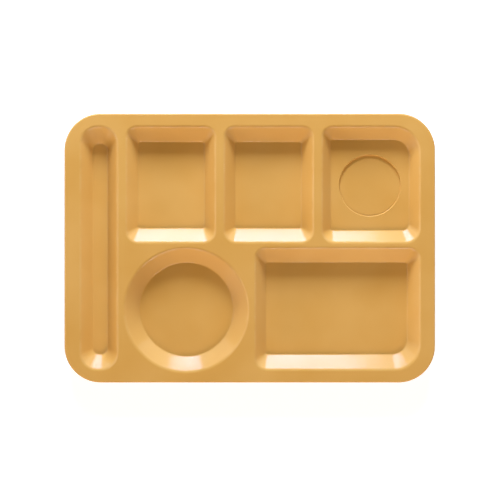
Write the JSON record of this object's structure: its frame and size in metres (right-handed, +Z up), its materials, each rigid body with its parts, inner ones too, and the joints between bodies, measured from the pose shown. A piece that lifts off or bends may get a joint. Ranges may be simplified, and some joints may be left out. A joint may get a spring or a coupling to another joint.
{
  "type": "compartment tray",
  "caption": "Flat moulded cafeteria tray with wells for cutlery, side dishes, a cup on a round seat, a bowl and a main dish, and a rolled lip round the edge.",
  "frame": {"origin": "on the table, under the middle of the tray's outline", "axes": "+X along the tray's length, away from the cutlery well; +Y towards the back edge, where the cup well is; +Z up"},
  "size_m": [0.3562, 0.2586, 0.015],
  "materials": {
    "tray_plastic": "glossy moulded plastic, warm muted yellow"
  },
  "bodies": {
    "root": {"rim_lip": "tray_plastic", "utensil_compartment": "tray_plastic", "left_side_compartment": "tray_plastic", "middle_side_compartment": "tray_plastic", "cup_compartment": "tray_plastic", "cup_seat": "tray_plastic", "bowl_compartment": "tray_plastic", "entree_compartment": "tray_plastic"}
  },
  "joints": []
}
